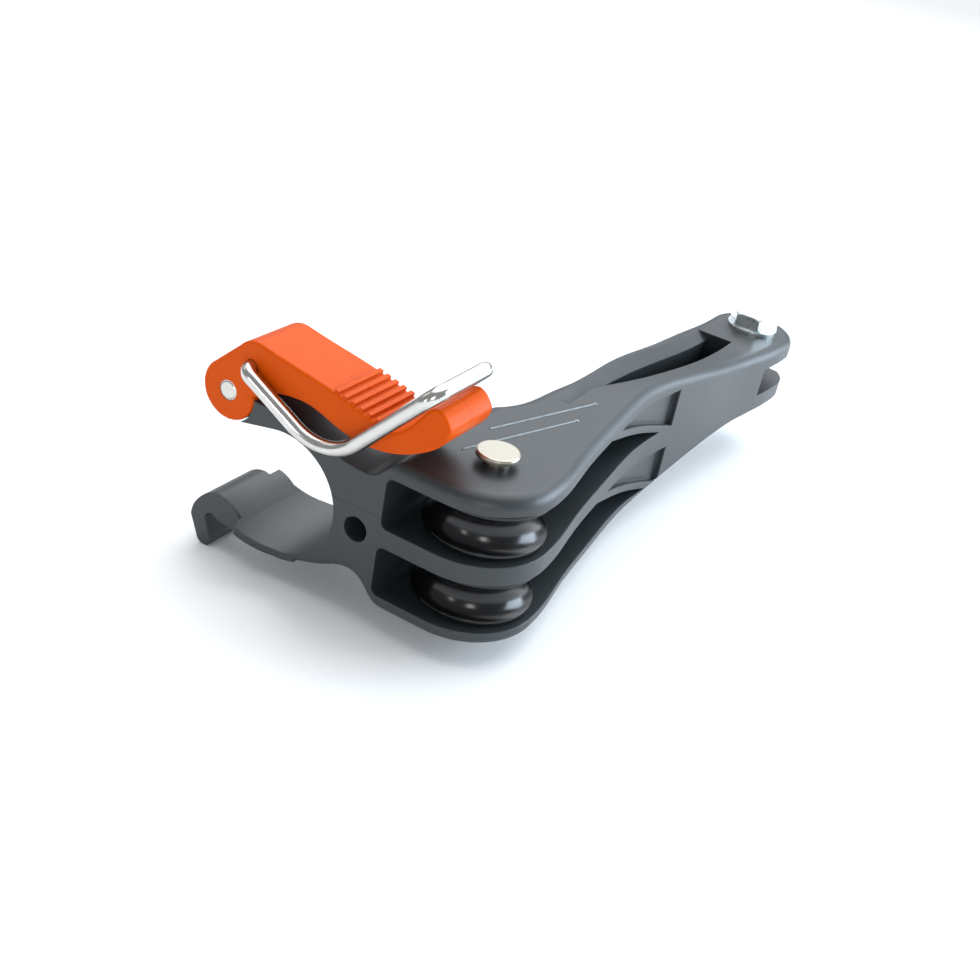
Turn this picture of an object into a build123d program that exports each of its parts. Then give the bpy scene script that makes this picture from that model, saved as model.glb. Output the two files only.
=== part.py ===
"""Clamp-on double block: a tube clamp with an over-centre latch, a cage with two sheaves one
above the other, and a long arm that ends in a bolted fork.

Row frame, millimetres: the origin is on the clamped tube's axis at the front face, +X runs
across the front face towards the sheaves, +Y runs back along the tube's axis to the fork,
and +Z runs up the sheave pin.
"""
import os
from math import acos, atan2, cos, degrees, hypot, radians, sin

from build123d import *

# --- Tube clamp -------------------------------------------------------------------------
TUBE_R = 15.0                 # clamped tube, 30 mm across
GRIP_W = 16.8                 # width of the latch side of the clamp: upper jaw, lever, hook
STRAP_T = 1.8                 # flexible lower strap
STRAP_END_DEG = -127.0        # where the strap leaves the tube and turns out to the hook
STRAP_FLARE = 3.0             # how far the strap's lip stands out past the hook, each side

# --- Latch ------------------------------------------------------------------------------
PIVOT = (-16.4, 18.9)         # lever pivot, X and Z
EAR_R = 7.1
PIVOT_PIN_R = 2.4
KNUCKLE_W = 8.4               # jaw's knuckle between the lever's ears
LEVER_GAP = 0.3               # air between the lever and the jaw
BAIL_EYE = (-10.6, 26.7)      # bail's pivot in the lever, X and Z
BAIL_BEND = (13.0, 14.2)      # corner of the bail's cranked leg
BAIL_BAR = (36.3, 39.2)       # cross bar
WIRE_R = 1.75
WIRE_BEND_R = 13.0
BAR_BEND_R = 3.2
LEG_GAP = 0.4                 # between the bail's leg and the side of the lever
LEVER_EDGE_R = 0.7            # rounding of the lever's outline
GRIP_RIBS = 6
RIB_PITCH = 2.15
RIB_H = 0.7
HOOK_SEAT = (-18.2, -16.0)
HOOK_SEAT_R = 2.1

# --- Cage -------------------------------------------------------------------------------
PIN_X, PIN_Y = 43.0, 16.7     # sheave pin's axis
CAGE_R = 17.0                 # rounded front corner of the cage
CAGE_RIGHT = 58.2
TOP_Z = 20.0
BOTTOM_Z = -16.7
TOP_PLATE = 4.2
WEB_TOP, WEB_BOTTOM = 3.4, -1.2
BOTTOM_PLATE = 3.1
TOP_EDGE_R = 3.0
BOTTOM_EDGE_R = 1.5
CHAMBER_X = 27.0              # left wall of the rope chambers
SIDE_WALL = 3.2
RAMP_START_Y, RAMP_END_Y = 54.0, 93.0
RIB_T = 2.0                   # sloping rib over the back of each chamber
RECESS_DEPTH = 1.5
CHAMBER_CORNER_R = 1.8        # rounding along the left wall of each chamber
FRONT_HOLE = (20.97, 0.18)    # cross hole beside the tube, X and Z
FRONT_HOLE_R = 3.0

# --- Sheaves and their pin --------------------------------------------------------------
SHEAVE_R = 13.8
ROPE_R = 4.6                  # groove for an 8 mm rope
GROOVE_R = 10.8               # radius at the bottom of the groove
WASHER_T = 0.8
WASHER_R = 6.5
BUSH_WALL = 1.0
PIN_R = 3.0
PIN_HEAD_R = 4.9
PIN_HEAD_T = 1.1
PIN_STAND = 1.8               # the pin's end float, seen as bare shank under its head
PIN_FIT = 0.05
SHEAVE_PLAY = 0.1             # above and below each stack of washers and sheave
CLIP_RECESS_R = 5.6
CLIP_RECESS_D = 1.8
CLIP_T = 0.7
CLIP_WASHER_T = 0.5
CLIP_GROOVE_R = 2.3

# --- Arm and fork -----------------------------------------------------------------------
UNDERSIDE_HOLLOW = 1.4        # how much more the arm's underside is curved than its top
FORK_HALF_H = 9.9
FORK_GAP = 8.6
FORK_R = 12.8
FORK_X, FORK_Y = 46.8, 167.0
FORK_DEPTH_Y = FORK_Y - 15.0  # root of the fork's gap
TAPER_START_Y = 70.0
TAPER_END_Y = FORK_Y - 9.0
BOLT_R = 4.0
BOLT_HOLE_R = 4.2
BOLT_AF = 13.0
BOLT_HEAD_H = 4.2
FORK_WASHER_R = 7.5
FORK_WASHER_T = 1.0
NUT_H = 5.2
NUT_COLLAR_H = 1.8
SLOT_TIP_Y = 68.0
SLOT_BACK_Y = FORK_Y - 18.0
SLOT_LEFT = FORK_X - 7.0
BEVEL_WIDTH, BEVEL_DEPTH = 3.6, 2.2

MID_Z = (TOP_Z + BOTTOM_Z) / 2
MID_Y = GRIP_W / 2
LEG_Y = LEG_GAP + WIRE_R      # bail leg's centre line, measured out from the lever's side


def on_tube(radius, angle_deg):
    """A point in the front view at this radius and angle about the tube's axis."""
    return radius * cos(radians(angle_deg)), radius * sin(radians(angle_deg))


def front_plate(face_edges, y0, y1):
    """Extrude a front-view outline, drawn in X and Z, from y0 back to y1."""
    plane = Plane(origin=(0, y0, 0), x_dir=(1, 0, 0), z_dir=(0, -1, 0))
    return extrude(plane * make_face(face_edges), amount=-(y1 - y0))


def side_plate(points, x0, x1):
    """Extrude a side-view polygon, drawn in Y and Z, from x0 to x1."""
    plane = Plane(origin=(x0, 0, 0), x_dir=(0, 1, 0), z_dir=(1, 0, 0))
    return extrude(plane * make_face(Polyline(*points, close=True)), amount=x1 - x0)


def cylinder_y(x, z, radius, y0, y1):
    """A round bar along Y."""
    return Pos(x, (y0 + y1) / 2, z) * Rot(90, 0, 0) * Cylinder(radius, y1 - y0)


def disc(x, y, radius, z0, z1):
    """A round bar along Z."""
    return Pos(x, y, (z0 + z1) / 2) * Cylinder(radius, z1 - z0)


def hexagon(x, y, across_flats, z0, z1):
    """A hexagonal bar along Z, with its top and bottom corners turned off."""
    prism = Pos(x, y, z0) * extrude(RegularPolygon(across_flats / 2, 6, major_radius=False), z1 - z0)
    lathe = chamfer(Cylinder(across_flats / 2 * 1.14, z1 - z0).edges().filter_by(GeomType.CIRCLE), 0.7)
    return prism & Pos(x, y, (z0 + z1) / 2) * lathe


# --- Plan of the moulding ----------------------------------------------------------------
RIGHT_WAIST = [(0.133, 2.8), (0.26, 5.4), (0.42, 7.9), (0.52, 7.3), (0.673, 5.1), (0.833, 2.8)]
LEFT_WAIST = [(0.85, 1.6), (0.67, 1.3), (0.49, 0.8), (0.34, 0.4)]


def right_side():
    """Plan of the right side: how far it draws in from the line between cage and fork."""
    run, rise = FORK_Y - CAGE_R, FORK_X + FORK_R - CAGE_RIGHT
    return [(CAGE_RIGHT + rise * share - inset, CAGE_R + run * share) for share, inset in RIGHT_WAIST]


def left_side():
    """Plan of the left side, from the fork to the bend behind the clamp."""
    fork_left = FORK_X - FORK_R
    arm = [(fork_left - inset, CAGE_R + (FORK_Y - CAGE_R) * share) for share, inset in LEFT_WAIST]
    return arm + [(fork_left - 1.4, 60), (fork_left - 4.3, 44), (18, 33)]


def plan_face():
    """The moulding seen from above: clamp's slanting back, cage, waisted arm and round fork."""
    fork_left, fork_right = FORK_X - FORK_R, FORK_X + FORK_R
    front = Line((-26, 0), (CAGE_RIGHT - CAGE_R, 0))
    corner = CenterArc((CAGE_RIGHT - CAGE_R, CAGE_R), CAGE_R, -90, 90)
    right = Spline(
        (CAGE_RIGHT, CAGE_R), *right_side(), (fork_right, FORK_Y), tangents=[(0, 1), (0, 1)],
    )
    end = CenterArc((FORK_X, FORK_Y), FORK_R, 0, 180)
    left = Spline(
        (fork_left, FORK_Y), *left_side(), (0, 25.5),
        tangents=[(0, -1), (-0.91, -0.41)],
    )
    back = Polyline((0, 25.5), (-16, 18.4), (-26, 14), (-26, 0))
    return make_face([front, corner, right, end, left, back])


def fork_levels():
    """Top and bottom face of the fork."""
    return MID_Z + FORK_HALF_H, MID_Z - FORK_HALF_H


def side_profile():
    """Side view of the whole moulding: flat cage, arm that narrows in a long curve, flat fork."""
    end = FORK_Y + FORK_R + 5
    top, bottom = fork_levels()
    mid_y = (TAPER_START_Y + TAPER_END_Y) / 2
    upper = Spline((TAPER_START_Y, TOP_Z), (mid_y, (TOP_Z + top) / 2), (TAPER_END_Y, top),
                   tangents=[(1, 0), (1, 0)])
    lower = Spline((TAPER_START_Y, BOTTOM_Z), (mid_y, (BOTTOM_Z + bottom) / 2 + UNDERSIDE_HOLLOW),
                   (TAPER_END_Y, bottom), tangents=[(1, 0), (1, 0)])
    outline = [
        Polyline((TAPER_START_Y, BOTTOM_Z), (-5, BOTTOM_Z), (-5, TOP_Z), (TAPER_START_Y, TOP_Z)),
        upper, Polyline((TAPER_END_Y, top), (end, top), (end, bottom), (TAPER_END_Y, bottom)), lower,
    ]
    plane = Plane(origin=(-30, 0, 0), x_dir=(0, 1, 0), z_dir=(1, 0, 0))
    return extrude(plane * make_face(outline), amount=110)


# --- Clamp, in the front view -------------------------------------------------------------
JAW_TIP = (-12.4, 12.6)       # inner corner of the upper jaw
JAW_CLEAR_R = EAR_R + LEVER_GAP
JAW_TOP_DEG = 2.0             # where the jaw's top leaves the pocket round the lever's ears


def round_pivot(radius, angle_deg):
    return (PIVOT[0] + radius * cos(radians(angle_deg)), PIVOT[1] + radius * sin(radians(angle_deg)))


def block_outline():
    """Front view of jaw, ring and cage: the tube's arc, the pocket for the ears and the valley."""
    tip_deg = degrees(atan2(JAW_TIP[1] - PIVOT[1], JAW_TIP[0] - PIVOT[0]))
    tip = round_pivot(JAW_CLEAR_R, tip_deg)
    top = round_pivot(JAW_CLEAR_R, JAW_TOP_DEG)
    # the jaw's underside leaves the tube along a tangent that meets its inner corner
    leave_deg = degrees(atan2(JAW_TIP[1], JAW_TIP[0]) - acos(TUBE_R / hypot(*JAW_TIP)))
    bore_top, bore_foot = on_tube(TUBE_R, leave_deg), on_tube(TUBE_R, -70)
    strap_foot = on_tube(TUBE_R + STRAP_T, -70)
    return [
        Line(tip, bore_top),
        CenterArc((0, 0), TUBE_R, leave_deg, -70 - leave_deg),
        Line(bore_foot, strap_foot),
        Spline(strap_foot, (TUBE_R - 1.8, 1.8 - TUBE_R), (19.6, -10.9), tangents=[(0.94, 0.34), (1, 0.1)]),
        Spline((19.6, -10.9), (24.6, -13.2), (29.6, BOTTOM_Z), tangents=[(1, 0.1), (1, -0.1)]),
        Polyline((29.6, BOTTOM_Z), (CAGE_RIGHT + 5, BOTTOM_Z), (CAGE_RIGHT + 5, TOP_Z), (30.2, TOP_Z)),
        Spline((30.2, TOP_Z), (26.4, 17.2), (21.6, 14.5), tangents=[(-1, -0.2), (-1, 0)]),
        Spline((21.6, 14.5), (12, 15.8), (0, 18.6), top, tangents=[(-1, 0), (-1, 0.05)]),
        CenterArc(PIVOT, JAW_CLEAR_R, JAW_TOP_DEG, tip_deg - JAW_TOP_DEG),
    ]


def strap_outline():
    """Front view of the springy lower strap, from the ring's foot round to its lip."""
    outer_r = TUBE_R + STRAP_T
    start = -69.0
    sweep = STRAP_END_DEG - start
    lip_in, lip_out = on_tube(TUBE_R, STRAP_END_DEG), on_tube(outer_r, STRAP_END_DEG)
    return [
        CenterArc((0, 0), TUBE_R, start, sweep),
        Spline(lip_in, (-11.7, -9.9), (-15.2, -8.5), tangents=[(-0.8, 0.6), (-1, 0.1)]),
        Line((-15.2, -8.5), (-15.4, -10.4)),
        Spline((-15.4, -10.4), (-12.2, -11.5), lip_out, tangents=[(1, -0.1), (0.8, -0.6)]),
        CenterArc((0, 0), outer_r, STRAP_END_DEG, -sweep),
        Line(on_tube(outer_r, start), on_tube(TUBE_R, start)),
    ]


def hook_outline():
    """Front view of the hook: a crown over the bail's seat and a limb that hangs to a round tip."""
    lip_out = on_tube(TUBE_R + STRAP_T - 0.6, STRAP_END_DEG + 3)
    lip_in = on_tube(TUBE_R + 0.7, STRAP_END_DEG)
    seat_left = (HOOK_SEAT[0] - HOOK_SEAT_R, HOOK_SEAT[1])
    seat_top = (HOOK_SEAT[0], HOOK_SEAT[1] + HOOK_SEAT_R)
    seat_right = (HOOK_SEAT[0] + HOOK_SEAT_R * 0.9, HOOK_SEAT[1] + HOOK_SEAT_R * 0.55)
    return [
        Spline(lip_in, (-12.0, -9.8), (-16.4, -8.0), tangents=[(-0.7, 0.75), (-1, 0.15)]),
        Spline((-16.4, -8.0), (-21.9, -10.8), (-24.5, -16.6), tangents=[(-1, -0.05), (-0.05, -1)]),
        Line((-24.5, -16.6), (-22.3, -21.8)),
        ThreePointArc((-22.3, -21.8), (-20.1, -23.3), (-18.1, -22.0)),
        Line((-18.1, -22.0), seat_left),
        ThreePointArc(seat_left, (HOOK_SEAT[0] - HOOK_SEAT_R * cos(radians(45)),
                                  HOOK_SEAT[1] + HOOK_SEAT_R * sin(radians(45))), seat_top),
        Line(seat_top, seat_right),
        Line(seat_right, (-12.3, -15.6)),
        Line((-12.3, -15.6), lip_out),
        Line(lip_out, lip_in),
    ]


def make_strap():
    """The strap is wider than the hook at its lip, and as wide as the ring at its foot."""
    near, far = -STRAP_FLARE, GRIP_W + STRAP_FLARE
    plan = make_face(Polyline(
        (14, 0), (0, 0), (-5, near * 0.5), (-9.2, near), (-9.9, 0.3), (-20, 0.3), (-20, far), (-10.5, far + 0.4),
        (-4, 24.4), (2, 27.0), (14, 32.0), close=True,
    ))
    band = front_plate(strap_outline(), near - 1, 40)
    return band & Pos(0, 0, -30) * extrude(plan, amount=40)


def make_knuckle():
    """The tongue of the jaw that fills the gap between the lever's ears and carries the pin."""
    y0 = MID_Y - KNUCKLE_W / 2
    y1 = MID_Y + KNUCKLE_W / 2
    tongue = cylinder_y(*PIVOT, EAR_R - 0.5, y0, y1)
    neck = front_plate([Polyline(PIVOT, round_pivot(JAW_CLEAR_R + 1.0, JAW_TOP_DEG - 9),
                                 round_pivot(JAW_CLEAR_R + 1.0, -28), round_pivot(JAW_CLEAR_R + 0.8, -50),
                                 close=True)], y0, y1)
    return tongue + neck


# --- Cage, arm and fork -------------------------------------------------------------------
def chamber(floor, ceiling):
    """One rope chamber, open at the front and right, its roof sloping to the floor at the back."""
    roof = [(-5, floor), (-5, ceiling), (RAMP_START_Y, ceiling), (RAMP_END_Y, floor)]
    side = side_plate(roof, 0, 80)
    wall = SIDE_WALL
    plan = make_face([
        Polyline((31.2 + wall, 43), (CHAMBER_X, 30), (CHAMBER_X, -5), (80, -5), (80, RAMP_END_Y + 5),
                 (36.4 + wall, RAMP_END_Y + 5)),
        Spline((36.4 + wall, RAMP_END_Y + 5), (34.4 + wall, 62), (31.2 + wall, 43)),
    ])
    space = side & Pos(0, 0, floor - 1) * extrude(plan, amount=ceiling - floor + 2)
    corners = [e for e in space.edges().filter_by(Axis.Y) if abs(e.center().X - CHAMBER_X) < 0.01]
    return fillet(corners, CHAMBER_CORNER_R)


def ramp_height(y, floor, ceiling):
    return ceiling + (floor - ceiling) * (y - RAMP_START_Y) / (RAMP_END_Y - RAMP_START_Y)


def side_recess(floor, ceiling):
    """Shallow triangular pocket above a sloping rib, sunk into the right side only."""
    near_y, far_y = RAMP_START_Y + 8, RAMP_END_Y + 6
    top = ceiling - 0.4
    side = side_plate([
        (near_y, min(ramp_height(near_y, floor, ceiling) + RIB_T, top)),
        (near_y + 0.6, top),
        (far_y, top - 1.2),
        (far_y, ramp_height(far_y, floor, ceiling) + RIB_T),
    ], FORK_X - 2, 80)
    bed = [(x - RECESS_DEPTH, y) for x, y in right_side()[1:5]]
    plan = make_face([Spline(*bed), Polyline(bed[-1], (80, bed[-1][1]), (80, bed[0][1]), bed[0])])
    return side & Pos(0, 0, BOTTOM_Z) * extrude(plan, amount=TOP_Z - BOTTOM_Z)


def arm_slot():
    """The long tapering opening in the top of the arm, with a floor left at the bottom."""
    tip = (SLOT_LEFT, SLOT_TIP_Y)
    plan = make_face([
        Polyline(tip, (SLOT_LEFT, SLOT_BACK_Y), (SLOT_LEFT + 7.4, SLOT_BACK_Y)),
        Spline((SLOT_LEFT + 7.4, SLOT_BACK_Y), (SLOT_LEFT + 8.4, SLOT_BACK_Y - 27),
               (SLOT_LEFT + 8.0, 102), (SLOT_LEFT + 4.6, 80), tip),
    ])
    floor_z = fork_levels()[1] + BOTTOM_PLATE
    side = side_plate([(SLOT_TIP_Y - 3, 30), (SLOT_TIP_Y - 3, 15.6), (RAMP_END_Y, WEB_TOP + RIB_T + 2),
                       (RAMP_END_Y + 6, floor_z - 2), (SLOT_BACK_Y + 3, floor_z), (SLOT_BACK_Y + 3, 30)],
                      30, 60)
    return side & Pos(0, 0, -20) * extrude(plan, amount=60)


def top_height(y):
    """Height of the arm's top, near enough for the bevel beside the slot."""
    share = min(max((y - TAPER_START_Y) / (TAPER_END_Y - TAPER_START_Y), 0), 1)
    return TOP_Z - (TOP_Z - fork_levels()[0]) * share * share * (3 - 2 * share)


def slot_bevel():
    """The sloping face that leads from the left rail down to the slot's left edge."""
    stations = [SLOT_TIP_Y - 13, SLOT_TIP_Y, 80, 92, 104, 114, 124, 136, SLOT_BACK_Y]
    sections = []
    for y in stations:
        deep = 0.1 if y == stations[0] else BEVEL_DEPTH
        top = top_height(y)
        sections.append(Plane(origin=(0, y, 0), x_dir=(1, 0, 0), z_dir=(0, -1, 0)) * make_face(Polyline(
            (SLOT_LEFT - BEVEL_WIDTH, top), (SLOT_LEFT + 0.3, top - deep), (SLOT_LEFT + 0.3, top + 2),
            (SLOT_LEFT - BEVEL_WIDTH, top + 2), close=True)))
    return loft(sections, ruled=True)


def fork_gap():
    """The slot between the fork's prongs, flared at its mouth."""
    half = FORK_GAP / 2
    end = FORK_Y + FORK_R
    flare = 1.6
    points = [
        (FORK_DEPTH_Y, MID_Z - half), (FORK_DEPTH_Y, MID_Z + half), (end - 4, MID_Z + half),
        (end + 1, MID_Z + half + flare), (end + 1, MID_Z - half - flare), (end - 4, MID_Z - half),
    ]
    return side_plate(points, 0, 90)


def rim(body, z_low, z_high):
    """Edges of the cage's, arm's and fork's outline between two heights, leaving out cross seams."""
    chosen = []
    for edge in body.edges():
        start, end = edge @ 0, edge @ 1
        inside = min(start.X, end.X) > 29 and z_low < min(start.Z, end.Z) and max(start.Z, end.Z) < z_high
        upright = abs(start.X - end.X) + abs(start.Y - end.Y) < 0.1
        seam = (abs(start.Y - end.Y) < 0.01 and start.Y > 1) or abs(start.X - end.X) < 0.01
        tail_end = edge.geom_type == GeomType.CIRCLE
        if inside and not upright and (tail_end or not seam):
            chosen.append(edge)
    return chosen


def make_frame_moulding():
    plan = plan_face()
    fork_top, fork_bottom = fork_levels()
    body = front_plate(block_outline(), 0, FORK_Y + FORK_R + 5)
    body = body & Pos(0, 0, -30) * extrude(plan, amount=80)
    body = body & side_profile()
    body = fillet(rim(body, fork_top - 0.5, TOP_Z + 1), TOP_EDGE_R)
    body = fillet(rim(body, BOTTOM_Z - 1, fork_bottom + 0.5), BOTTOM_EDGE_R)
    # the upper jaw is only as wide as the lever above it, so the bail's far leg clears it
    body -= Pos(-10, GRIP_W + 20, 21) * Box(64, 40, 18)
    body += make_strap()
    body += front_plate(hook_outline(), 0, GRIP_W - 0.6)
    body += make_knuckle()
    floor, lower_roof = BOTTOM_Z + BOTTOM_PLATE, WEB_BOTTOM
    upper_roof = TOP_Z - TOP_PLATE
    body -= chamber(WEB_TOP, upper_roof)
    body -= chamber(floor, lower_roof)
    body -= side_recess(WEB_TOP, upper_roof)
    body -= side_recess(floor, lower_roof)
    body -= arm_slot()
    body -= slot_bevel()
    body -= fork_gap()
    body -= cylinder_y(*PIVOT, PIVOT_PIN_R + PIN_FIT, -1, GRIP_W + 1)
    body -= cylinder_y(*FRONT_HOLE, FRONT_HOLE_R, -1, 60)
    body -= disc(PIN_X, PIN_Y, PIN_R + PIN_FIT, BOTTOM_Z - 1, TOP_Z + 1)
    body -= disc(PIN_X, PIN_Y, CLIP_RECESS_R, BOTTOM_Z - 1, BOTTOM_Z + CLIP_RECESS_D)
    body -= disc(FORK_X, FORK_Y, BOLT_HOLE_R, -40, 40)
    return body.solid()


# --- Latch ----------------------------------------------------------------------------------
def lever_outline():
    """Front view of the lever: round ear, shoulder over the bail's eye, dipped pad, raised nose."""
    start_deg, shoulder_deg, shoulder_r = 8.0, 141.0, 6.0
    shoulder = (BAIL_EYE[0] + 1.0, BAIL_EYE[1] + 0.1)
    ear_foot, ear_back = round_pivot(EAR_R, start_deg), round_pivot(EAR_R, shoulder_deg)
    lean = radians(shoulder_deg)
    back = (shoulder[0] + shoulder_r * cos(lean), shoulder[1] + shoulder_r * sin(lean))
    crest_deg = 78.0
    crest = (shoulder[0] + shoulder_r * cos(radians(crest_deg)),
             shoulder[1] + shoulder_r * sin(radians(crest_deg)))
    along = (sin(radians(crest_deg)), -cos(radians(crest_deg)))
    return [
        CenterArc(PIVOT, EAR_R, start_deg, shoulder_deg - 360 - start_deg),
        Line(ear_back, back),
        CenterArc(shoulder, shoulder_r, shoulder_deg, crest_deg - shoulder_deg),
        Spline(crest, (2.0, 30.9), (13.0, 28.9), (22.0, 26.6), (26.6, 26.4), (30.4, 29.3), (33.6, 33.8),
               tangents=[along, (0.55, 0.84)]),
        Spline((33.6, 33.8), (36.8, 35.1), (39.4, 32.6), (39.3, 29.6), tangents=[(0.55, 0.84), (-0.35, -1)]),
        Spline((39.3, 29.6), (34.0, 24.4), (27.0, 21.3), (20.5, TOP_Z + 0.45), (14.0, 21.2),
               (3.5, 23.9), (-2.6, 23.2), ear_foot, tangents=[(-0.5, -1), (-1, -0.55)]),
    ]


def pad_rib(index):
    """One raised rib across the thumb pad, following the pad's slope."""
    x = 11.6 + RIB_PITCH * index
    z = 29.2 - 0.236 * RIB_PITCH * index
    return Pos(x, MID_Y, z) * Rot(0, 13, 0) * Box(1.1, GRIP_W - LEVER_EDGE_R, 2 * RIB_H)


def make_lever():
    lever = front_plate(lever_outline(), 0, GRIP_W)
    sides = lever.faces().filter_by(Axis.Y)
    lever = fillet(sides.edges(), LEVER_EDGE_R)
    for index in range(GRIP_RIBS):
        lever += pad_rib(index)
    slot_w = KNUCKLE_W + 2 * LEVER_GAP
    lever -= cylinder_y(*PIVOT, JAW_CLEAR_R + 1.1, MID_Y - slot_w / 2, MID_Y + slot_w / 2)
    lever -= cylinder_y(*PIVOT, PIVOT_PIN_R, -1, GRIP_W + 1)
    eye_depth = (GRIP_W - slot_w) / 2
    for y0 in (-1, GRIP_W - eye_depth):
        lever -= cylinder_y(*BAIL_EYE, WIRE_R + PIN_FIT, y0, y0 + eye_depth + 1)
    return lever


def make_lever_pin():
    pin = cylinder_y(*PIVOT, PIVOT_PIN_R, 0, GRIP_W)
    return chamfer(pin.edges().filter_by(GeomType.CIRCLE), 0.25)


def make_bail():
    """Round wire: out of the lever, along a cranked leg, across the bar, and back the same way."""
    near, far = -LEG_Y, GRIP_W + LEG_Y
    inside = (GRIP_W - KNUCKLE_W) / 2 - LEVER_GAP - 0.2
    route = [
        (BAIL_EYE[0], inside, BAIL_EYE[1]), (BAIL_EYE[0], near, BAIL_EYE[1]),
        (BAIL_BEND[0], near, BAIL_BEND[1]), (BAIL_BAR[0], near, BAIL_BAR[1]),
        (BAIL_BAR[0], far, BAIL_BAR[1]), (BAIL_BEND[0], far, BAIL_BEND[1]),
        (BAIL_EYE[0], far, BAIL_EYE[1]), (BAIL_EYE[0], GRIP_W - inside, BAIL_EYE[1]),
    ]
    radii = [LEG_Y, WIRE_BEND_R, BAR_BEND_R, BAR_BEND_R, WIRE_BEND_R, LEG_Y]
    path = FilletPolyline(*route, radius=radii)
    section = Plane(origin=path @ 0, z_dir=path % 0) * Circle(WIRE_R)
    return sweep(section, path=path, transition=Transition.ROUND)


# --- Sheaves, pin and their hidden parts -----------------------------------------------------
def chambers():
    """Floor and ceiling of the upper and the lower rope chamber."""
    return {
        "upper": (WEB_TOP, TOP_Z - TOP_PLATE),
        "lower": (BOTTOM_Z + BOTTOM_PLATE, WEB_BOTTOM),
    }


def make_sheave(floor, ceiling):
    """Turned profile: flanges, round rope groove, dished cheeks and a hub face."""
    low = floor + SHEAVE_PLAY + WASHER_T
    high = ceiling - SHEAVE_PLAY - WASHER_T
    mid = (low + high) / 2
    bore = PIN_R + PIN_FIT + BUSH_WALL
    dish = 0.6
    profile = make_face(Polyline(
        (bore, low), (WASHER_R + 0.4, low), (WASHER_R + 1.4, low + dish), (SHEAVE_R - 2.2, low + dish),
        (SHEAVE_R - 1.4, low), (SHEAVE_R - 0.3, low), (SHEAVE_R, low + 0.3),
        (SHEAVE_R, high - 0.3), (SHEAVE_R - 0.3, high), (SHEAVE_R - 1.4, high),
        (SHEAVE_R - 2.2, high - dish), (WASHER_R + 1.4, high - dish), (WASHER_R + 0.4, high),
        (bore, high), close=True,
    ))
    groove = Pos(GROOVE_R + ROPE_R, mid) * Circle(ROPE_R)
    outer = Pos(SHEAVE_R + ROPE_R / 2, mid) * Rectangle(ROPE_R, 2 * ROPE_R)
    turned = revolve(Plane.XZ * (profile - groove - outer), axis=Axis.Z)
    return Pos(PIN_X, PIN_Y, 0) * turned


def make_bush(floor, ceiling):
    low, high = floor + SHEAVE_PLAY + WASHER_T, ceiling - SHEAVE_PLAY - WASHER_T
    inner = PIN_R + PIN_FIT
    return disc(PIN_X, PIN_Y, inner + BUSH_WALL, low, high) - disc(PIN_X, PIN_Y, inner, low - 1, high + 1)


def make_thrust_washer(z0):
    return (disc(PIN_X, PIN_Y, WASHER_R, z0, z0 + WASHER_T)
            - disc(PIN_X, PIN_Y, PIN_R + 0.1, z0 - 1, z0 + 2))


def pin_end_levels():
    """Heights in the recess under the cage: ceiling, washer's underside, clip's underside."""
    ceiling = BOTTOM_Z + CLIP_RECESS_D
    return ceiling, ceiling - CLIP_WASHER_T, ceiling - CLIP_WASHER_T - CLIP_T


def make_sheave_pin():
    head_z = TOP_Z + PIN_STAND
    pin = disc(PIN_X, PIN_Y, PIN_R, BOTTOM_Z + 0.1, head_z + 0.1)
    pin = chamfer(pin.edges().sort_by(Axis.Z)[0], 0.3)
    head = disc(PIN_X, PIN_Y, PIN_HEAD_R, head_z, head_z + PIN_HEAD_T)
    head = fillet(head.edges().filter_by(GeomType.CIRCLE).sort_by(Axis.Z)[-1], 0.55)
    _, clip_top, clip_bottom = pin_end_levels()
    groove = disc(PIN_X, PIN_Y, PIN_R + 1, clip_bottom, clip_top)
    groove -= disc(PIN_X, PIN_Y, CLIP_GROOVE_R, clip_bottom - 1, clip_top + 1)
    return pin + head - groove


def make_pin_end_washer():
    ceiling, low, _ = pin_end_levels()
    return disc(PIN_X, PIN_Y, CLIP_RECESS_R - 0.5, low, ceiling) - disc(PIN_X, PIN_Y, PIN_R + 0.1, low - 1, ceiling + 1)


def make_pin_clip():
    """Snap ring with one opening."""
    _, high, low = pin_end_levels()
    ring = disc(PIN_X, PIN_Y, CLIP_RECESS_R - 0.9, low, high)
    ring -= disc(PIN_X, PIN_Y, CLIP_GROOVE_R, low - 1, high + 1)
    return ring - Pos(PIN_X, PIN_Y + CLIP_RECESS_R, (low + high) / 2) * Box(3.4, 2 * CLIP_RECESS_R, 3)


# --- Fork fastener ---------------------------------------------------------------------------
def make_fork_washer(z0):
    return (disc(FORK_X, FORK_Y, FORK_WASHER_R, z0, z0 + FORK_WASHER_T)
            - disc(FORK_X, FORK_Y, BOLT_HOLE_R, z0 - 1, z0 + 3))


def nut_levels():
    """Top of the nut, top of its collar and bottom of the collar."""
    top = fork_levels()[1] - FORK_WASHER_T
    return top, top - NUT_H, top - NUT_H - NUT_COLLAR_H


def make_fork_bolt():
    head_z = fork_levels()[0] + FORK_WASHER_T
    end_z = nut_levels()[2] - 0.3
    head = hexagon(FORK_X, FORK_Y, BOLT_AF, head_z, head_z + BOLT_HEAD_H)
    shank = disc(FORK_X, FORK_Y, BOLT_R, end_z, head_z + 1)
    return head + chamfer(shank.edges().sort_by(Axis.Z)[0], 0.8)


def make_fork_nut():
    """Hexagon with a round collar below, open to hold the nylon ring."""
    top, collar_top, bottom = nut_levels()
    nut = hexagon(FORK_X, FORK_Y, BOLT_AF, collar_top, top)
    nut += disc(FORK_X, FORK_Y, BOLT_AF / 2 - 0.4, bottom, collar_top + 0.5)
    nut -= disc(FORK_X, FORK_Y, BOLT_R, bottom - 1, top + 1)
    return nut - disc(FORK_X, FORK_Y, BOLT_R + 1.1, bottom + 0.3, collar_top)


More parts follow.
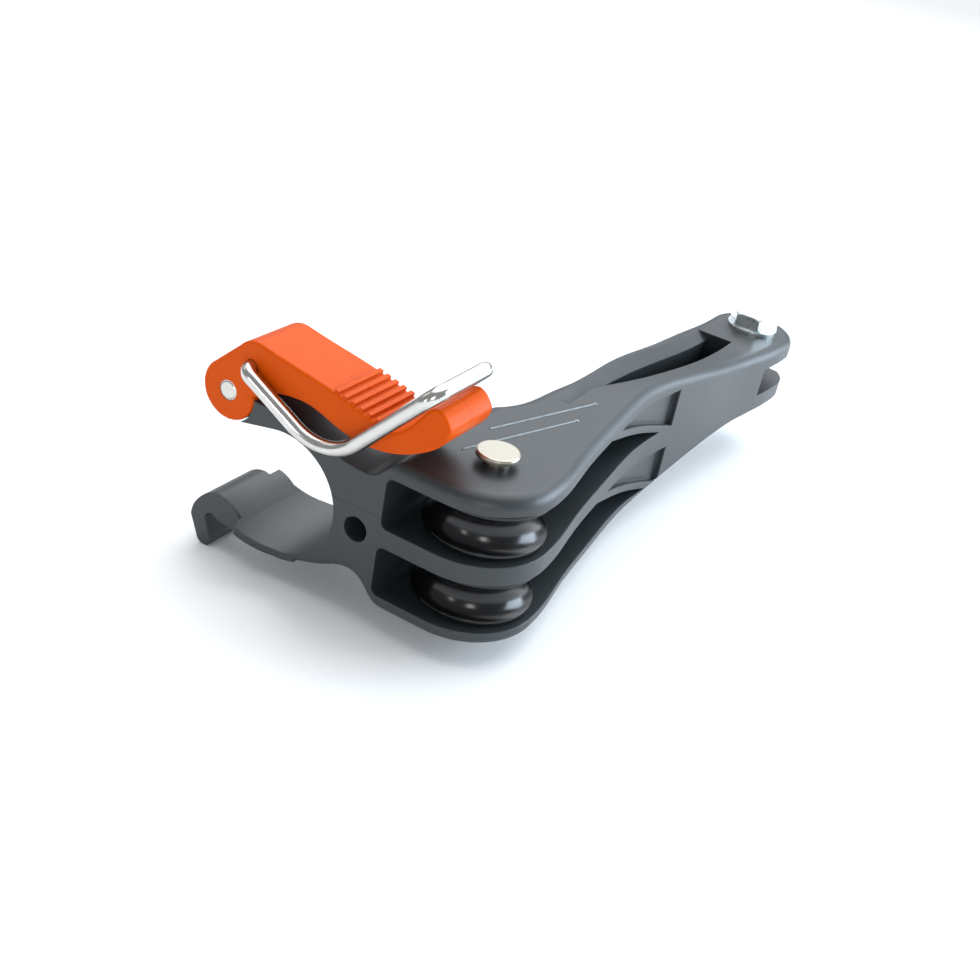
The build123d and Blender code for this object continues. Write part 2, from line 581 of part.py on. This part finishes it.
def make_fork_nut_insert():
    _, collar_top, bottom = nut_levels()
    return (disc(FORK_X, FORK_Y, BOLT_R + 1.1, bottom + 0.3, collar_top)
            - disc(FORK_X, FORK_Y, BOLT_R, bottom - 1, collar_top + 1))


def make_all():
    parts = {
        "frame_moulding": make_frame_moulding(),
        "latch_lever": make_lever(),
        "lever_pin": make_lever_pin(),
        "wire_bail": make_bail(),
        "sheave_pin": make_sheave_pin(),
        "pin_end_washer": make_pin_end_washer(),
        "pin_clip": make_pin_clip(),
        "fork_bolt": make_fork_bolt(),
        "fork_washer_top": make_fork_washer(fork_levels()[0]),
        "fork_washer_bottom": make_fork_washer(fork_levels()[1] - FORK_WASHER_T),
        "fork_nut": make_fork_nut(),
        "fork_nut_insert": make_fork_nut_insert(),
    }
    for name, (floor, ceiling) in chambers().items():
        parts[f"{name}_sheave"] = make_sheave(floor, ceiling)
        parts[f"{name}_sheave_bush"] = make_bush(floor, ceiling)
        parts[f"{name}_thrust_washer_top"] = make_thrust_washer(ceiling - WASHER_T)
        parts[f"{name}_thrust_washer_bottom"] = make_thrust_washer(floor)
    return parts


if __name__ == "__main__":
    os.makedirs("parts", exist_ok=True)
    for node, shape in make_all().items():
        export_step(shape, f"parts/{node}.step")
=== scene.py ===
"""Clamp-on double block with an over-centre latch: charcoal nylon frame, orange lever, wire bail,
two black sheaves and a bolted fork. Metres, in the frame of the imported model.
"""
import math

import bmesh
import bpy
from mathutils import Matrix, Vector


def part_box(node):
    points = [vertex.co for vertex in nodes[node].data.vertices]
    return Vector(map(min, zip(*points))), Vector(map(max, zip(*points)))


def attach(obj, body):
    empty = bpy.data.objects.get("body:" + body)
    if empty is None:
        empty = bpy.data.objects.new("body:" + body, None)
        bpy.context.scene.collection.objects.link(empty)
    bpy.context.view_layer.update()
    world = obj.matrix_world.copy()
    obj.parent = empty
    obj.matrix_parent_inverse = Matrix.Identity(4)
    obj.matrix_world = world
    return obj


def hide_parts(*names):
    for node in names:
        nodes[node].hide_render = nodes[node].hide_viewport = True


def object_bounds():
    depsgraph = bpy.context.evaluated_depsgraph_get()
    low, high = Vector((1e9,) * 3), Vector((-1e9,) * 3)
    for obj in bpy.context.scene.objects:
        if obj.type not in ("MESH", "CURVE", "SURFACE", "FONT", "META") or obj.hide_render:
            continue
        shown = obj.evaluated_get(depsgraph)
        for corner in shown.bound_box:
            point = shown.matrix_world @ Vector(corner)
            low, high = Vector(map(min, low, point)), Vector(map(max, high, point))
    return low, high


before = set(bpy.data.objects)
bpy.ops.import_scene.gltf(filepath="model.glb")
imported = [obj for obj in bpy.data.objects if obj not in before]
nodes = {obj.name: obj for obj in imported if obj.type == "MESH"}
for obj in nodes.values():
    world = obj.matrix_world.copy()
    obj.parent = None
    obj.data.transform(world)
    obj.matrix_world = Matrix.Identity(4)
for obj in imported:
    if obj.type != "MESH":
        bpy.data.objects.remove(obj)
cad_low, cad_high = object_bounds()
mm = 0.001

# --- Studio ---------------------------------------------------------------------------------
# A pale floor under the block, which rests on its hook's tip and the underside of the cage. Broad
# soft lights stand overhead and at the right, with two small ones in front and a weak one left.
scene = bpy.context.scene
scene.view_settings.view_transform = "Standard"


def linear(colour):
    """A hex sRGB colour as the linear RGBA that shaders read."""
    parts = [int(colour[i:i + 2], 16) / 255 for i in (1, 3, 5)]
    return tuple(c / 12.92 if c <= 0.04045 else ((c + 0.055) / 1.055) ** 2.4 for c in parts) + (1.0,)


def add(tree, kind, inputs=(), **settings):
    """One node with its settings; each input is given a value or linked to another node's socket."""
    node = tree.nodes.new(kind)
    for name, value in settings.items():
        setattr(node, name, value)
    for socket, value in dict(inputs).items():
        if isinstance(value, bpy.types.NodeSocket):
            tree.links.new(value, node.inputs[socket])
        else:
            node.inputs[socket].default_value = value
    return node


def start_material(name, colour, roughness, metallic=0.0, ior=1.5):
    """A material with its tree, shader and object coordinates; the colour is its average."""
    material = bpy.data.materials.new(name)
    material.use_nodes = True
    tree = material.node_tree
    tree.nodes.clear()
    shader = add(tree, "ShaderNodeBsdfPrincipled", {
        "Base Color": linear(colour), "Roughness": roughness, "Metallic": metallic, "IOR": ior})
    add(tree, "ShaderNodeOutputMaterial", {"Surface": shader.outputs["BSDF"]})
    place = add(tree, "ShaderNodeTexCoord").outputs["Object"]
    return material, tree, shader, place


floor_z = cad_low.z
floor_size = 8.0
bpy.ops.mesh.primitive_plane_add(size=floor_size, location=(0.0, 0.0, floor_z))
floor = bpy.context.object
floor.name = "studio_floor"
paper, tree, shader, place = start_material("matt_white_paper_sweep", "#F4F5F5", 0.9)
shader.inputs["Specular IOR Level"].default_value = 0.1
floor.data.materials.append(paper)

world = bpy.data.worlds.new("soft_room")
world.use_nodes = True
scene.world = world
room = world.node_tree
room.nodes["Background"].inputs["Color"].default_value = linear("#F2F6FA")
room.nodes["Background"].inputs["Strength"].default_value = 0.40


def soft_light(name, place, aim, width, height, watts, colour="#FFFFFF"):
    """A rectangular softbox at a place, turned towards its aim."""
    light = bpy.data.lights.new(name, "AREA")
    light.shape = "RECTANGLE"
    light.size, light.size_y = width, height
    light.energy = watts
    light.color = linear(colour)[:3]
    holder = bpy.data.objects.new(name, light)
    scene.collection.objects.link(holder)
    holder.location = place
    holder.rotation_euler = (Vector(aim) - Vector(place)).to_track_quat("-Z", "Y").to_euler()


middle = (cad_low + cad_high) / 2
soft_light("overhead_softbox", (-0.10, 0.75, 0.70), middle, 1.6, 1.0, 8.0, "#EEF6FF")
soft_light("right_softbox", (0.65, 0.55, 0.22), middle, 0.6, 0.45, 9.0, "#DFEFFF")
soft_light("front_softbox", (0.42, -0.62, 0.30), middle, 0.16, 0.26, 1.2)
soft_light("low_front_softbox", (-0.12, -0.75, 0.16), middle, 0.12, 0.22, 0.5)
soft_light("left_softbox", (-0.70, -0.10, 0.55), middle, 0.4, 0.4, 0.4, "#FFF4EA")

# an even, wide ceiling light keeps the floor pale right across
ceiling = bpy.data.lights.new("ceiling", "SUN")
ceiling.angle = math.radians(75)
ceiling.energy = 2.1
holder = bpy.data.objects.new("ceiling", ceiling)
scene.collection.objects.link(holder)
ceiling_aim = Vector((0.1, -0.35, -1.0))
holder.rotation_euler = ceiling_aim.to_track_quat("-Z", "Y").to_euler()

lens = bpy.data.cameras.new("camera")
lens.sensor_width = 36.0
lens.lens = 47.755
lens.clip_start, lens.clip_end = 0.01, 20.0
camera = bpy.data.objects.new("camera", lens)
scene.collection.objects.link(camera)
turn, tilt, roll = -0.44659, 0.51231, 0.19629  # radians, about Z, down from level, about the view
ahead = Vector((math.sin(turn) * math.cos(tilt), math.cos(turn) * math.cos(tilt), -math.sin(tilt)))
level = Vector((math.cos(turn), -math.sin(turn), 0.0))
upright = level.cross(ahead)
across = level * math.cos(roll) + upright * math.sin(roll)
over = upright * math.cos(roll) - level * math.sin(roll)
pose = Matrix((across, over, -ahead)).transposed().to_4x4()
pose.translation = (0.147694, -0.202395, 0.149634)
camera.matrix_world = pose
scene.camera = camera

# --- Frame moulding -------------------------------------------------------------------------
# The ring, cage, arm and fork in one piece of charcoal glass-filled nylon, injection moulded in
# a spark-eroded tool, which leaves a fine even grain; the rounded edges carry a painted highlight.
charcoal, tree, shader, place = start_material("glass_filled_nylon_spark_eroded", "#25292B", 0.42, ior=1.53)
# grain of the eroded tool: 0.2 mm in life, drawn at 0.45 mm so that it shows
grain = add(tree, "ShaderNodeTexNoise", {"Vector": place, "Scale": 1 / (0.45 * mm), "Detail": 3.0,
                                         "Roughness": 0.6})
# fibre-rich flow: slow changes of tone over about 14 mm
flow = add(tree, "ShaderNodeTexNoise", {"Vector": place, "Scale": 1 / (14 * mm), "Detail": 4.0})
tone = add(tree, "ShaderNodeMixRGB", {"Fac": flow.outputs["Fac"], "Color1": linear("#1F2325"),
                                      "Color2": linear("#2F3538")})
# painted highlight: the corners of the moulding are painted paler than the flats, as if lit
rounded = add(tree, "ShaderNodeBevel", {"Radius": 0.5 * mm}, samples=4)
flat = add(tree, "ShaderNodeNewGeometry")
facing = add(tree, "ShaderNodeVectorMath", {0: rounded.outputs["Normal"], 1: flat.outputs["Normal"]},
             operation="DOT_PRODUCT")
corner = add(tree, "ShaderNodeMapRange", {"Value": facing.outputs["Value"], "From Min": 0.995,
                                          "From Max": 0.80, "To Min": 0.0, "To Max": 0.5})
painted_edge_highlight = add(tree, "ShaderNodeMixRGB", {"Fac": corner.outputs["Result"], "Color1": tone.outputs["Color"],
                                      "Color2": linear("#4A5357")})
# hairline on the front face where the halves of the mould meet, from the ring to the cage
spot = add(tree, "ShaderNodeSeparateXYZ", {"Vector": place})
line_z, line_left, line_right = 5.6 * mm, 14.2 * mm, 27.0 * mm
off_line = add(tree, "ShaderNodeMath", {0: spot.outputs["Z"], 1: line_z}, operation="SUBTRACT")
near_line = add(tree, "ShaderNodeMath", {0: off_line.outputs[0], 1: 0.0, 2: 0.13 * mm}, operation="COMPARE")
off_middle = add(tree, "ShaderNodeMath", {0: spot.outputs["X"], 1: (line_left + line_right) / 2,
                                          2: (line_right - line_left) / 2}, operation="COMPARE")
on_front = add(tree, "ShaderNodeMath", {0: spot.outputs["Y"], 1: 0.3 * mm}, operation="LESS_THAN")
both = add(tree, "ShaderNodeMath", {0: near_line.outputs[0], 1: off_middle.outputs[0]}, operation="MULTIPLY")
hairline = add(tree, "ShaderNodeMath", {0: both.outputs[0], 1: on_front.outputs[0]}, operation="MULTIPLY")
marked = add(tree, "ShaderNodeMixRGB", {"Fac": hairline.outputs[0], "Color1": painted_edge_highlight.outputs["Color"],
                                        "Color2": linear("#0B0D0E")})
sheen = add(tree, "ShaderNodeMapRange", {"Value": flow.outputs["Fac"], "To Min": 0.36, "To Max": 0.48})
relief = add(tree, "ShaderNodeBump", {"Strength": 0.35, "Distance": 0.03 * mm, "Height": grain.outputs["Fac"],
                                      "Normal": rounded.outputs["Normal"]})
tree.links.new(marked.outputs["Color"], shader.inputs["Base Color"])
tree.links.new(sheen.outputs["Result"], shader.inputs["Roughness"])
tree.links.new(relief.outputs["Normal"], shader.inputs["Normal"])


def finish_node(name, material):
    """Give a carried-over node its material."""
    mesh = nodes[name].data
    mesh.materials.clear()
    mesh.materials.append(material)


finish_node("frame_moulding", charcoal)


def bake_nodes(holder, name):
    """The evaluated result of a geometry tree, as a plain mesh object at the origin."""
    shown = holder.evaluated_get(bpy.context.evaluated_depsgraph_get())
    mesh = bpy.data.meshes.new_from_object(shown)
    bpy.data.objects.remove(holder)
    plain = bpy.data.objects.new(name, mesh)
    scene.collection.objects.link(plain)
    return plain


def geometry_tree(name, inputs):
    """An empty geometry tree with these named inputs, each a socket type and a value."""
    group = bpy.data.node_groups.new(name, "GeometryNodeTree")
    group.interface.new_socket("Geometry", in_out="INPUT", socket_type="NodeSocketGeometry")
    for label, (kind, value) in inputs.items():
        socket = group.interface.new_socket(label, in_out="INPUT", socket_type=kind)
        socket.default_value = value
    group.interface.new_socket("Geometry", in_out="OUTPUT", socket_type="NodeSocketGeometry")
    return group, group.nodes.new("NodeGroupInput"), group.nodes.new("NodeGroupOutput")


def run_tree(holder, group, values):
    """Put the tree on the object, its inputs set by their identifiers."""
    modifier = holder.modifiers.new(group.name, "NODES")
    modifier.node_group = group
    for item in group.interface.items_tree:
        if item.in_out == "INPUT" and item.name in values:
            modifier[item.identifier] = values[item.name]


# Two fine raised lines run along the top plate, each ending in a small round mark. They are painted
# paler than the plate: a painted highlight on the raised lines, with a mottled tone.
painted_highlight_nylon, tree, shader, place = start_material("glass_filled_nylon_painted_highlight", "#7E8B90", 0.38, ior=1.53)
highlight_mottle = add(tree, "ShaderNodeTexNoise", {"Vector": place, "Scale": 1 / (1.5 * mm), "Detail": 3.0})
tone = add(tree, "ShaderNodeMixRGB", {"Fac": highlight_mottle.outputs["Fac"], "Color1": linear("#59646A"),
                                      "Color2": linear("#9AA6AB")})
tree.links.new(tone.outputs["Color"], shader.inputs["Base Color"])

lines, given, result = geometry_tree("raised_line", {
    "Half width": ("NodeSocketFloat", 0.25 * mm), "Mark radius": ("NodeSocketFloat", 0.5 * mm)})
profile = add(lines, "GeometryNodeCurvePrimitiveCircle", {"Resolution": 12,
                                                          "Radius": given.outputs["Half width"]})
swept = add(lines, "GeometryNodeCurveToMesh", {"Curve": given.outputs["Geometry"],
                                               "Profile Curve": profile.outputs["Curve"], "Fill Caps": True})
ends = add(lines, "GeometryNodeCurveEndpointSelection", {"Start Size": 0, "End Size": 1})
dot = add(lines, "GeometryNodeMeshUVSphere", {"Segments": 20, "Rings": 12,
                                              "Radius": given.outputs["Mark radius"]})
flattened = add(lines, "GeometryNodeTransform", {"Geometry": dot.outputs["Mesh"], "Scale": (1.0, 1.0, 0.55)})
marks = add(lines, "GeometryNodeInstanceOnPoints", {"Points": given.outputs["Geometry"],
                                                    "Selection": ends.outputs["Selection"],
                                                    "Instance": flattened.outputs["Geometry"]})
joined = add(lines, "GeometryNodeJoinGeometry")
lines.links.new(swept.outputs["Mesh"], joined.inputs["Geometry"])
lines.links.new(marks.outputs["Instances"], joined.inputs["Geometry"])
real = add(lines, "GeometryNodeRealizeInstances", {"Geometry": joined.outputs["Geometry"]})
painted = add(lines, "GeometryNodeSetMaterial", {"Geometry": real.outputs["Geometry"], "Material": painted_highlight_nylon})
lines.links.new(painted.outputs["Geometry"], result.inputs["Geometry"])

plate_z = 20.0 * mm
path = bpy.data.curves.new("plate_line_path", "CURVE")
path.dimensions = "3D"
for start, end in (((34.1, 28.8), (44.7, 60.1)), ((34.9, 15.9), (45.9, 48.5))):
    spline = path.splines.new("POLY")
    spline.points.add(1)
    spline.points[0].co = (start[0] * mm, start[1] * mm, plate_z, 1.0)
    spline.points[1].co = (end[0] * mm, end[1] * mm, plate_z, 1.0)
holder = bpy.data.objects.new("plate_line_path", path)
scene.collection.objects.link(holder)
run_tree(holder, lines, {"Half width": 0.22 * mm, "Mark radius": 0.55 * mm})
plate_lines = bake_nodes(holder, "plate_raised_lines")
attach(plate_lines, "frame")

# --- Latch lever ----------------------------------------------------------------------------
# The orange over-centre lever, moulded in pigmented acetal and satin from the mould. A faint
# parting line runs along its middle, over the ribs of the thumb pad and round the nose.
lever_low, lever_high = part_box("latch_lever")
orange, tree, shader, place = start_material("pigmented_acetal_satin", "#E94E14", 0.36, ior=1.48)
shader.inputs["Specular IOR Level"].default_value = 0.1
grain = add(tree, "ShaderNodeTexNoise", {"Vector": place, "Scale": 1 / (0.6 * mm), "Detail": 3.0})
swirl = add(tree, "ShaderNodeTexNoise", {"Vector": place, "Scale": 1 / (9 * mm), "Detail": 3.0,
                                         "Distortion": 0.6})
tone = add(tree, "ShaderNodeMixRGB", {"Fac": swirl.outputs["Fac"], "Color1": linear("#C84800"),
                                      "Color2": linear("#D25200")})
spot = add(tree, "ShaderNodeSeparateXYZ", {"Vector": place})
seam_y = (lever_low.y + lever_high.y) / 2
seam = add(tree, "ShaderNodeMath", {0: spot.outputs["Y"], 1: seam_y, 2: 0.08 * mm}, operation="COMPARE")
past_eye = add(tree, "ShaderNodeMath", {0: spot.outputs["X"], 1: 9 * mm}, operation="GREATER_THAN")
parting = add(tree, "ShaderNodeMath", {0: seam.outputs[0], 1: past_eye.outputs[0]}, operation="MULTIPLY")
marked = add(tree, "ShaderNodeMixRGB", {"Fac": parting.outputs[0], "Color1": tone.outputs["Color"],
                                        "Color2": linear("#A8300A")})
rounded = add(tree, "ShaderNodeBevel", {"Radius": 0.25 * mm}, samples=4)
relief = add(tree, "ShaderNodeBump", {"Strength": 0.25, "Distance": 0.02 * mm, "Height": grain.outputs["Fac"],
                                      "Normal": rounded.outputs["Normal"]})
sheen = add(tree, "ShaderNodeMapRange", {"Value": swirl.outputs["Fac"], "To Min": 0.32, "To Max": 0.42})
tree.links.new(marked.outputs["Color"], shader.inputs["Base Color"])
tree.links.new(sheen.outputs["Result"], shader.inputs["Roughness"])
tree.links.new(relief.outputs["Normal"], shader.inputs["Normal"])
finish_node("latch_lever", orange)

# --- Lever pin ------------------------------------------------------------------------------
# A straight-knurled stainless pin pressed through the lever's ears. Its bright end shows flush
# in the ear, with the knurl's teeth round it.
steel, tree, shader, place = start_material("bright_drawn_stainless", "#CBC9C3", 0.26, metallic=1.0)
# drawing lines 0.15 mm apart along the bar, drawn at 0.3 mm so that they show
drawn = add(tree, "ShaderNodeMapping", {"Vector": place, "Scale": (1.0, 0.06, 1.0)})
scratch = add(tree, "ShaderNodeTexNoise", {"Vector": drawn.outputs["Vector"], "Scale": 1 / (0.3 * mm),
                                           "Detail": 2.0})
haze = add(tree, "ShaderNodeTexNoise", {"Vector": place, "Scale": 1 / (4 * mm), "Detail": 3.0})
sheen = add(tree, "ShaderNodeMapRange", {"Value": haze.outputs["Fac"], "To Min": 0.15, "To Max": 0.28})
relief = add(tree, "ShaderNodeBump", {"Strength": 0.12, "Distance": 0.01 * mm,
                                      "Height": scratch.outputs["Fac"]})
tree.links.new(sheen.outputs["Result"], shader.inputs["Roughness"])
tree.links.new(relief.outputs["Normal"], shader.inputs["Normal"])

pin_low, pin_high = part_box("lever_pin")
pin_centre = (pin_low + pin_high) / 2
pin_r = (pin_high.x - pin_low.x) / 2


def turned(name, outline, centre, steps=64):
    """A solid turned about the Y axis through centre: outline is (radius, y) from end to end."""
    shape = bmesh.new()
    rows = []
    for radius, y in outline:
        if radius < 1e-9:
            rows.append([shape.verts.new((centre.x, y, centre.z))])
            continue
        rows.append([shape.verts.new((centre.x + radius * math.cos(2 * math.pi * i / steps), y,
                                      centre.z + radius * math.sin(2 * math.pi * i / steps)))
                     for i in range(steps)])
    for first, second in zip(rows, rows[1:]):
        for i in range(steps):
            j = (i + 1) % steps
            loop = [first[i % len(first)], first[j % len(first)],
                    second[j % len(second)], second[i % len(second)]]
            shape.faces.new(list(dict.fromkeys(loop)))
    bmesh.ops.recalc_face_normals(shape, faces=shape.faces)
    mesh = bpy.data.meshes.new(name)
    shape.to_mesh(mesh)
    shape.free()
    solid = bpy.data.objects.new(name, mesh)
    scene.collection.objects.link(solid)
    return solid


tooth_r = 0.27 * mm
core_r = pin_r - 0.22 * mm
core = turned("knurled_core", [
    (0.0, pin_low.y + 0.12 * mm), (core_r - 0.9 * mm, pin_low.y + 0.05 * mm), (core_r - 0.3 * mm, pin_low.y),
    (core_r, pin_low.y + 0.25 * mm), (core_r, pin_high.y - 0.25 * mm), (core_r - 0.3 * mm, pin_high.y),
    (core_r - 0.9 * mm, pin_high.y - 0.05 * mm), (0.0, pin_high.y - 0.12 * mm)], pin_centre)
knurl, given, result = geometry_tree("straight_knurl", {
    "Teeth": ("NodeSocketInt", 20), "Pitch radius": ("NodeSocketFloat", 2.1 * mm),
    "Tooth radius": ("NodeSocketFloat", 0.27 * mm), "Length": ("NodeSocketFloat", 16 * mm),
    "Centre": ("NodeSocketVector", (0.0, 0.0, 0.0))})
ring = add(knurl, "GeometryNodeMeshCircle", {"Vertices": given.outputs["Teeth"],
                                             "Radius": given.outputs["Pitch radius"]})
upright_ring = add(knurl, "GeometryNodeTransform", {"Geometry": ring.outputs["Mesh"],
                                                    "Translation": given.outputs["Centre"],
                                                    "Rotation": (math.pi / 2, 0.0, 0.0)})
tooth = add(knurl, "GeometryNodeMeshCylinder", {"Vertices": 8, "Radius": given.outputs["Tooth radius"],
                                                "Depth": given.outputs["Length"]})
laid = add(knurl, "GeometryNodeTransform", {"Geometry": tooth.outputs["Mesh"],
                                            "Rotation": (math.pi / 2, 0.0, 0.0)})
teeth = add(knurl, "GeometryNodeInstanceOnPoints", {"Points": upright_ring.outputs["Geometry"],
                                                    "Instance": laid.outputs["Geometry"]})
joined = add(knurl, "GeometryNodeJoinGeometry")
knurl.links.new(given.outputs["Geometry"], joined.inputs["Geometry"])
knurl.links.new(teeth.outputs["Instances"], joined.inputs["Geometry"])
real = add(knurl, "GeometryNodeRealizeInstances", {"Geometry": joined.outputs["Geometry"]})
painted = add(knurl, "GeometryNodeSetMaterial", {"Geometry": real.outputs["Geometry"], "Material": steel})
knurl.links.new(painted.outputs["Geometry"], result.inputs["Geometry"])
run_tree(core, knurl, {"Teeth": 20, "Pitch radius": pin_r - tooth_r, "Tooth radius": tooth_r,
                       "Length": pin_high.y - pin_low.y - 0.3 * mm, "Centre": pin_centre})
knurled_pin = bake_nodes(core, "knurled_lever_pin")
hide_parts("lever_pin")
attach(knurled_pin, "lever")

# --- Wire bail ------------------------------------------------------------------------------
# One length of 3.5 mm stainless spring wire, bent cold and tumbled bright, sprung into the lever.
wire, tree, shader, place = start_material("tumbled_stainless_spring_wire", "#C9C8C4", 0.18, metallic=1.0)
haze = add(tree, "ShaderNodeTexNoise", {"Vector": place, "Scale": 1 / (2.5 * mm), "Detail": 4.0})
sheen = add(tree, "ShaderNodeMapRange", {"Value": haze.outputs["Fac"], "To Min": 0.12, "To Max": 0.26})
tone = add(tree, "ShaderNodeMixRGB", {"Fac": haze.outputs["Fac"], "Color1": linear("#BEBDB9"),
                                      "Color2": linear("#D8D7D3")})
pits = add(tree, "ShaderNodeTexNoise", {"Vector": place, "Scale": 1 / (0.4 * mm), "Detail": 2.0})
relief = add(tree, "ShaderNodeBump", {"Strength": 0.08, "Distance": 0.01 * mm, "Height": pits.outputs["Fac"]})
tree.links.new(tone.outputs["Color"], shader.inputs["Base Color"])
tree.links.new(sheen.outputs["Result"], shader.inputs["Roughness"])
tree.links.new(relief.outputs["Normal"], shader.inputs["Normal"])
finish_node("wire_bail", wire)

# --- Sheaves --------------------------------------------------------------------------------
# Two black acetal sheaves, moulded and then turned in the groove, which leaves fine rings round
# the axis and a glossy face. Each spins on a bush with a thrust washer above and below.
sheave_low, sheave_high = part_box("upper_sheave")
pin_axis = (sheave_low + sheave_high) / 2


def from_pin_axis(tree, place):
    """The distance from the sheave pin's axis, and the place measured from it."""
    about_pin = add(tree, "ShaderNodeMapping", {"Vector": place,
                                                "Location": (-pin_axis.x, -pin_axis.y, 0.0)})
    across_pin = add(tree, "ShaderNodeSeparateXYZ", {"Vector": about_pin.outputs["Vector"]})
    flat_place = add(tree, "ShaderNodeCombineXYZ", {"X": across_pin.outputs["X"],
                                                    "Y": across_pin.outputs["Y"]})
    radius = add(tree, "ShaderNodeVectorMath", {0: flat_place.outputs["Vector"]}, operation="LENGTH")
    return radius, across_pin


acetal, tree, shader, place = start_material("black_acetal_turned", "#08080A", 0.2, ior=1.48)
radius, across_pin = from_pin_axis(tree, place)
# turning rings 0.1 mm apart, drawn at 0.4 mm so that they show
along = add(tree, "ShaderNodeMath", {0: radius.outputs["Value"], 1: across_pin.outputs["Z"]}, operation="ADD")
cuts = add(tree, "ShaderNodeMath", {0: along.outputs[0], 1: 2 * math.pi / (0.4 * mm)}, operation="MULTIPLY")
rings = add(tree, "ShaderNodeMath", {0: cuts.outputs[0]}, operation="SINE")
dust = add(tree, "ShaderNodeTexNoise", {"Vector": place, "Scale": 1 / (3 * mm), "Detail": 5.0})
sheen = add(tree, "ShaderNodeMapRange", {"Value": dust.outputs["Fac"], "To Min": 0.14, "To Max": 0.30})
rounded = add(tree, "ShaderNodeBevel", {"Radius": 0.35 * mm}, samples=4)
relief = add(tree, "ShaderNodeBump", {"Strength": 0.06, "Distance": 0.01 * mm, "Height": rings.outputs[0],
                                      "Normal": rounded.outputs["Normal"]})
tree.links.new(sheen.outputs["Result"], shader.inputs["Roughness"])
tree.links.new(relief.outputs["Normal"], shader.inputs["Normal"])
for name in ("upper_sheave", "lower_sheave"):
    finish_node(name, acetal)

# --- Sheave pin, end washer and clip ----------------------------------------------------------
# A turned stainless clevis pin with a flat head on top, held underneath by a washer and a snap
# ring. The lathe leaves fine rings on the head.
turned_steel, tree, shader, place = start_material("turned_stainless", "#A9A498", 0.30, metallic=1.0)
radius, across_pin = from_pin_axis(tree, place)
# lathe rings 0.08 mm apart, drawn at 0.35 mm so that they show
cuts = add(tree, "ShaderNodeMath", {0: radius.outputs["Value"], 1: 2 * math.pi / (0.35 * mm)},
           operation="MULTIPLY")
rings = add(tree, "ShaderNodeMath", {0: cuts.outputs[0]}, operation="SINE")
smear = add(tree, "ShaderNodeTexNoise", {"Vector": place, "Scale": 1 / (1.8 * mm), "Detail": 4.0})
sheen = add(tree, "ShaderNodeMapRange", {"Value": smear.outputs["Fac"], "To Min": 0.26, "To Max": 0.42})
relief = add(tree, "ShaderNodeBump", {"Strength": 0.10, "Distance": 0.01 * mm, "Height": rings.outputs[0]})
tree.links.new(sheen.outputs["Result"], shader.inputs["Roughness"])
tree.links.new(relief.outputs["Normal"], shader.inputs["Normal"])
for name in ("sheave_pin", "pin_end_washer", "pin_clip", "upper_sheave_bush", "lower_sheave_bush"):
    finish_node(name, turned_steel)

# --- Thrust washers -------------------------------------------------------------------------
# Natural acetal washers, stamped from sheet, milky and slightly waxy.
natural, tree, shader, place = start_material("natural_acetal_sheet", "#DAD8CE", 0.42, ior=1.48)
cloud = add(tree, "ShaderNodeTexNoise", {"Vector": place, "Scale": 1 / (2 * mm), "Detail": 3.0})
tone = add(tree, "ShaderNodeMixRGB", {"Fac": cloud.outputs["Fac"], "Color1": linear("#CFCDC2"),
                                      "Color2": linear("#E6E4DB")})
relief = add(tree, "ShaderNodeBump", {"Strength": 0.1, "Distance": 0.01 * mm, "Height": cloud.outputs["Fac"]})
tree.links.new(tone.outputs["Color"], shader.inputs["Base Color"])
tree.links.new(relief.outputs["Normal"], shader.inputs["Normal"])
for name in nodes:
    if "thrust_washer" in name:
        finish_node(name, natural)

# --- Fork bolt, washers and nut ---------------------------------------------------------------
# An 8 mm hexagon bolt through the fork with a self-locking nut, all cold-forged steel in bright
# zinc plate, which is pale, slightly blue and faintly mottled.
zinc, tree, shader, place = start_material("bright_zinc_plate", "#DDE3E4", 0.30, metallic=1.0)
spangle = add(tree, "ShaderNodeTexVoronoi", {"Vector": place, "Scale": 1 / (1.1 * mm)})
cloud = add(tree, "ShaderNodeTexNoise", {"Vector": place, "Scale": 1 / (3 * mm), "Detail": 4.0})
tone = add(tree, "ShaderNodeMixRGB", {"Fac": cloud.outputs["Fac"], "Color1": linear("#CBD4D5"),
                                      "Color2": linear("#EEF3F2")})
sheen = add(tree, "ShaderNodeMapRange", {"Value": spangle.outputs["Distance"],
                                         "To Min": 0.24, "To Max": 0.40})
rounded = add(tree, "ShaderNodeBevel", {"Radius": 0.3 * mm}, samples=4)
relief = add(tree, "ShaderNodeBump", {"Strength": 0.1, "Distance": 0.01 * mm, "Height": cloud.outputs["Fac"],
                                      "Normal": rounded.outputs["Normal"]})
tree.links.new(tone.outputs["Color"], shader.inputs["Base Color"])
tree.links.new(sheen.outputs["Result"], shader.inputs["Roughness"])
tree.links.new(relief.outputs["Normal"], shader.inputs["Normal"])
for name in ("fork_bolt", "fork_washer_top", "fork_washer_bottom", "fork_nut"):
    finish_node(name, zinc)

# The nut's locking ring, blue nylon pressed into its collar.
blue, tree, shader, place = start_material("blue_nylon", "#2F5C9E", 0.45, ior=1.53)
cloud = add(tree, "ShaderNodeTexNoise", {"Vector": place, "Scale": 1 / (0.8 * mm), "Detail": 3.0})
tone = add(tree, "ShaderNodeMixRGB", {"Fac": cloud.outputs["Fac"], "Color1": linear("#29528F"),
                                      "Color2": linear("#3A69AC")})
tree.links.new(tone.outputs["Color"], shader.inputs["Base Color"])
finish_node("fork_nut_insert", blue)
